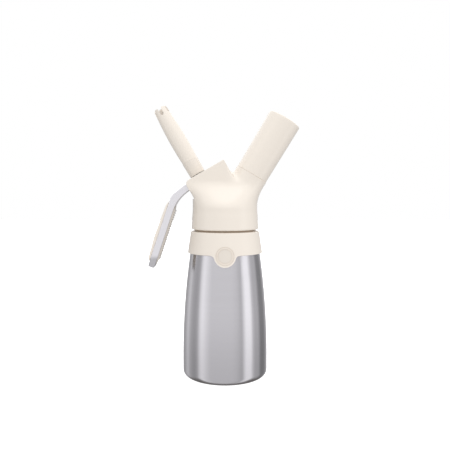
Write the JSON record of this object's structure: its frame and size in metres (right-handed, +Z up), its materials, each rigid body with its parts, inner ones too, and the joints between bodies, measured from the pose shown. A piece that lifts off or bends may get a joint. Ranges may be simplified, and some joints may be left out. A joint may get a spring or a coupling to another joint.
{
  "type": "whipped cream dispenser",
  "caption": "Steel bottle with a screw-on head: a sprung curved lever works a slotted nozzle on one side, and a screw-on gas charger holder rises on the other.",
  "frame": {"origin": "middle of the flat disc of the bottle's base, on the surface that the dispenser stands on", "axes": "+Z up along the bottle; the front with the round tab faces -Y; the nozzle and lever are on the -X side and the charger holder on the +X side"},
  "size_m": [0.1455, 0.0818, 0.2623],
  "materials": {
    "bottle_steel": "brushed",
    "cream_plastic": "satin",
    "thread_plastic": "matt",
    "seal_rubber": "matt",
    "valve_steel": "turned",
    "lever_metal": "satin",
    "port_metal": "turned",
    "charger_steel": "zinc plated"
  },
  "bodies": {
    "bottle": {"bottle": "bottle_steel", "collar": "cream_plastic"},
    "gasket": {"head_gasket": "seal_rubber"},
    "head": {"head_shell": "cream_plastic", "thread_ring": "thread_plastic", "valve_guide": "valve_steel", "rod_o_ring": "seal_rubber", "return_spring": "valve_steel", "lever_pin": "valve_steel", "charger_port": "port_metal", "piercing_pin": "valve_steel", "charger_seal": "seal_rubber", "check_valve": "seal_rubber"},
    "lever": {"lever": "lever_metal", "outer_grip": "cream_plastic", "inner_grip": "cream_plastic"},
    "valve": {"valve_rod": "valve_steel", "valve_seal": "seal_rubber", "valve_nut": "valve_steel", "nozzle_adapter": "cream_plastic"},
    "nozzle_seal": {"nozzle_washer": "seal_rubber"},
    "nozzle": {"nozzle": "cream_plastic"},
    "charger": {"gas_charger": "charger_steel"},
    "holder": {"holder_shell": "cream_plastic", "holder_sleeve": "port_metal"}
  },
  "joints": [
    {"name": "head_lift", "type": "slide", "parent": "bottle", "child": "gasket", "axis": [0, 0, 1], "range_m": [0, 0.04]},
    {"name": "head_turn", "type": "hinge", "parent": "gasket", "child": "head", "pos_m": [0, 0, 0], "axis": [0, 0, 1], "range_deg": [0, 2880]},
    {"name": "lever_pivot", "type": "hinge", "parent": "head", "child": "lever", "pos_m": [-0.00386, 0, 0.20169], "axis": [0, -1, 0], "range_deg": [0, 9], "stiffness_Nm_per_rad": 1.5, "springref_deg": -7.45},
    {"name": "valve_slide", "type": "slide", "parent": "head", "child": "valve", "axis": [0.5, 0, -0.866], "range_m": [0, 0.00353], "deforming": ["return_spring"]},
    {"name": "nozzle_lift", "type": "slide", "parent": "valve", "child": "nozzle_seal", "axis": [-0.5, 0, 0.866], "range_m": [0, 0.012]},
    {"name": "nozzle_turn", "type": "hinge", "parent": "nozzle_seal", "child": "nozzle", "pos_m": [0, 0, 0.15], "axis": [-0.5, 0, 0.866], "range_deg": [0, 2160]},
    {"name": "charger_lift", "type": "slide", "parent": "head", "child": "charger", "axis": [0.515, 0, 0.8572], "range_m": [0, 0.018]},
    {"name": "holder_turn", "type": "hinge", "parent": "charger", "child": "holder", "pos_m": [0, 0, 0.1525], "axis": [0.515, 0, 0.8572], "range_deg": [0, 2160]}
  ],
  "couplings": [
    {"joint": "head_lift", "follows": "head_turn", "m_per_rad": 0.00079577},
    {"joint": "valve_slide", "follows": "lever_pivot", "m_per_rad": 0.0225},
    {"joint": "nozzle_lift", "follows": "nozzle_turn", "m_per_rad": 0.0003183},
    {"joint": "charger_lift", "follows": "holder_turn", "m_per_rad": 0.00047746}
  ]
}
